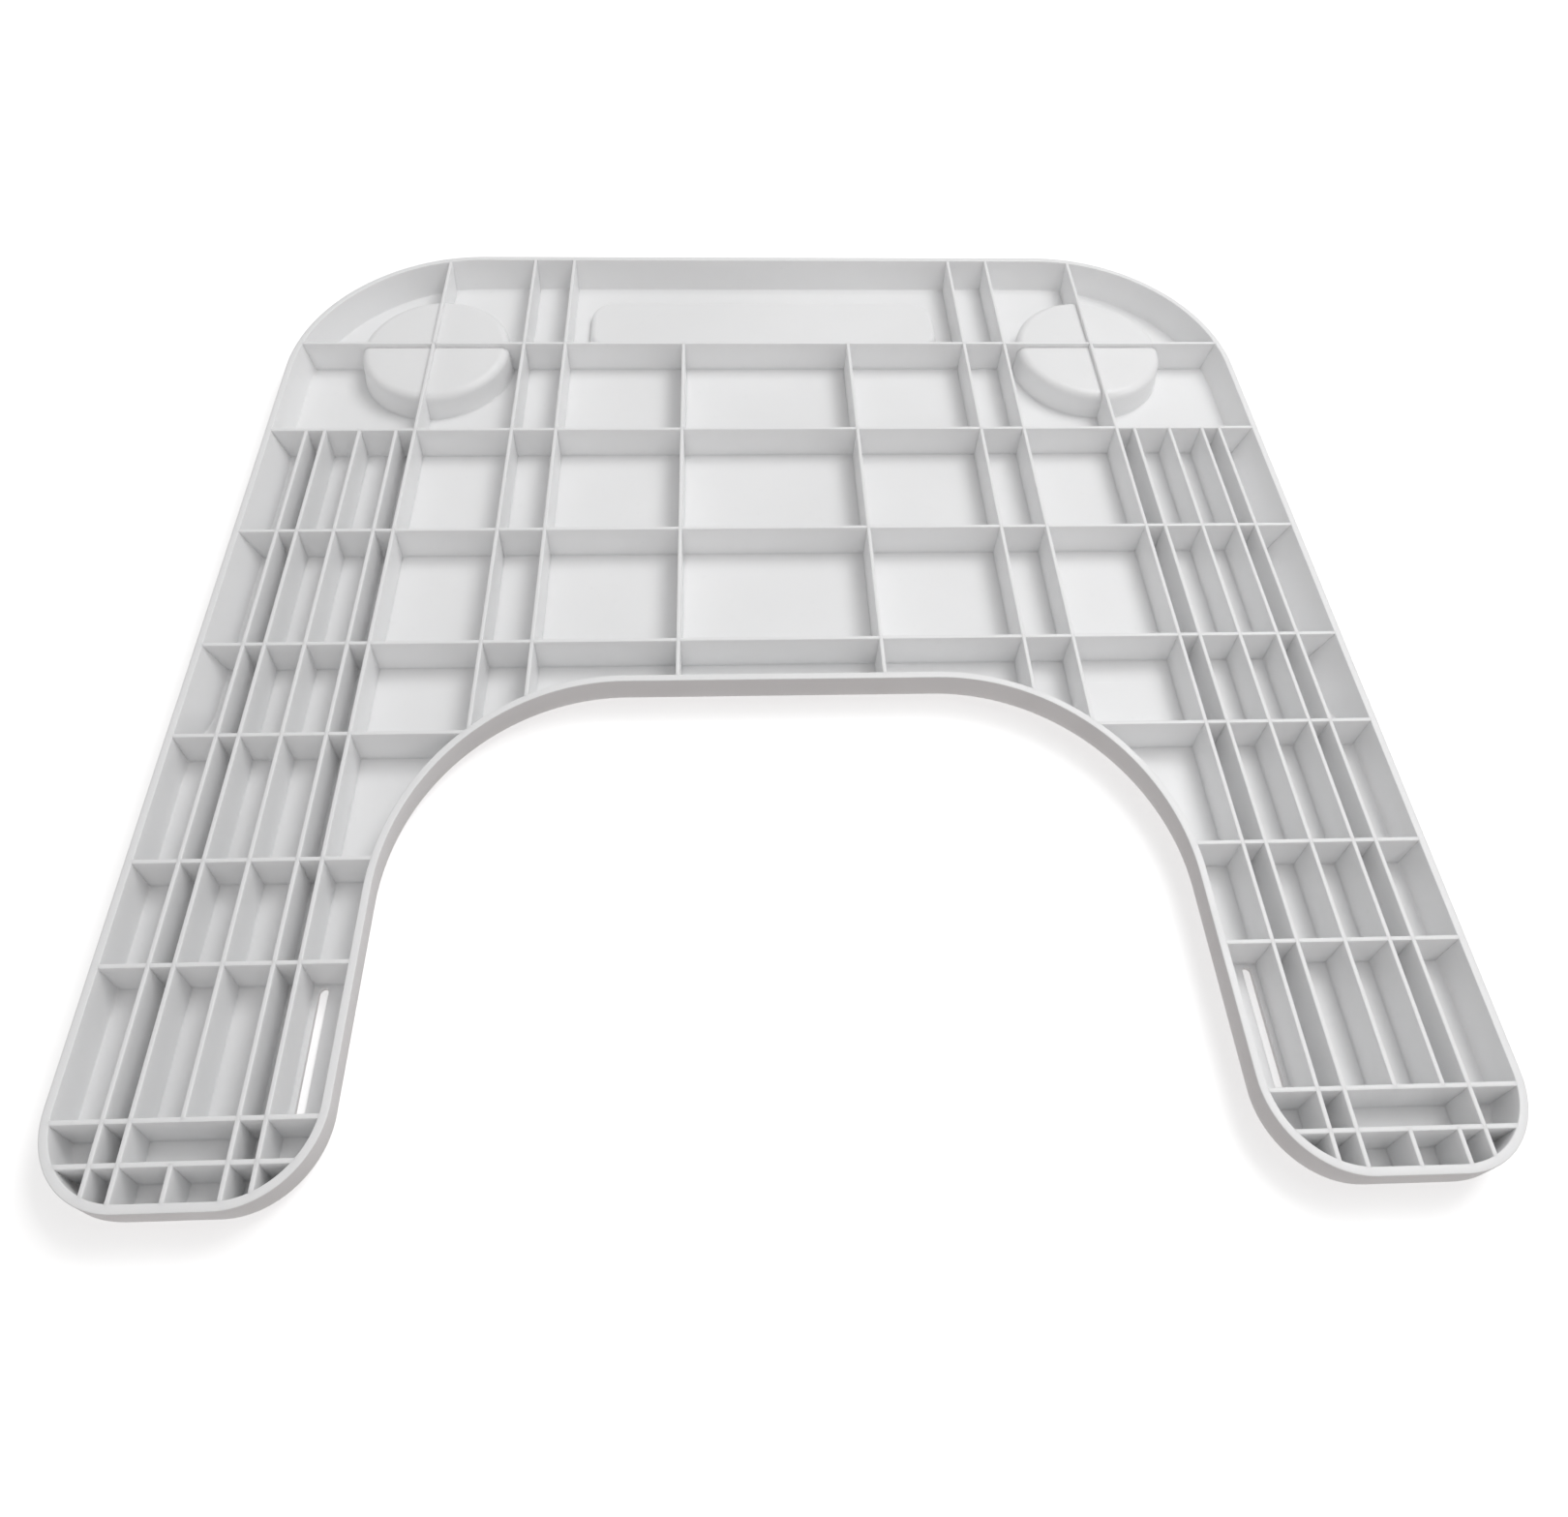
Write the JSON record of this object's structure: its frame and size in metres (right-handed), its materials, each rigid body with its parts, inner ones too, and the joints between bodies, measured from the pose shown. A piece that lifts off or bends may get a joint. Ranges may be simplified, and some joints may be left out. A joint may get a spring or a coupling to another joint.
{
  "type": "wheelchair lap tray",
  "caption": "Shallow ribbed lap tray with a rounded body cut-out, two forward arms, round cup wells, a pencil trough and slim strap slots.",
  "frame": {"origin": "centre of the bounding box on the flat work face, which lies down", "axes": "+Z from the work face to the rib tops, +Y away from the user, X across the two arms"},
  "size_m": [0.6, 0.581, 0.025],
  "materials": {
    "tray_plastic": "satin moulded, light grey white"
  },
  "bodies": {
    "root": {"cross_rib_1": "tray_plastic", "cross_rib_2": "tray_plastic", "cross_rib_3": "tray_plastic", "cross_rib_4": "tray_plastic", "cross_rib_5_left": "tray_plastic", "cross_rib_5_right": "tray_plastic", "cross_rib_6_left": "tray_plastic", "cross_rib_6_right": "tray_plastic", "cross_rib_7_left": "tray_plastic", "cross_rib_7_right": "tray_plastic", "cross_rib_8_left": "tray_plastic", "cross_rib_8_right": "tray_plastic", "cross_rib_9_left": "tray_plastic", "cross_rib_9_right": "tray_plastic", "cup_well_left": "tray_plastic", "cup_well_right": "tray_plastic", "deck_arm_left": "tray_plastic", "deck_arm_right": "tray_plastic", "deck_centre": "tray_plastic", "deck_corner_left": "tray_plastic", "deck_corner_right": "tray_plastic", "deck_main": "tray_plastic", "deck_side_left": "tray_plastic", "deck_side_right": "tray_plastic", "deck_trough": "tray_plastic", "long_rib_left_1": "tray_plastic", "long_rib_left_2": "tray_plastic", "long_rib_left_3": "tray_plastic", "long_rib_left_3_tip": "tray_plastic", "long_rib_left_4": "tray_plastic", "long_rib_left_5": "tray_plastic", "long_rib_left_6": "tray_plastic", "long_rib_left_7": "tray_plastic", "long_rib_left_8": "tray_plastic", "long_rib_right_1": "tray_plastic", "long_rib_right_2": "tray_plastic", "long_rib_right_2_tip": "tray_plastic", "long_rib_right_3": "tray_plastic", "long_rib_right_3_tip": "tray_plastic", "long_rib_right_4": "tray_plastic", "long_rib_right_5": "tray_plastic", "long_rib_right_6": "tray_plastic", "long_rib_right_7": "tray_plastic", "long_rib_right_8": "tray_plastic", "pencil_trough": "tray_plastic", "wall_back": "tray_plastic", "wall_body_cutout": "tray_plastic", "wall_corner_left": "tray_plastic", "wall_corner_right": "tray_plastic", "wall_side_left": "tray_plastic", "wall_side_right": "tray_plastic", "wall_tip_left": "tray_plastic", "wall_tip_right": "tray_plastic"}
  },
  "joints": []
}
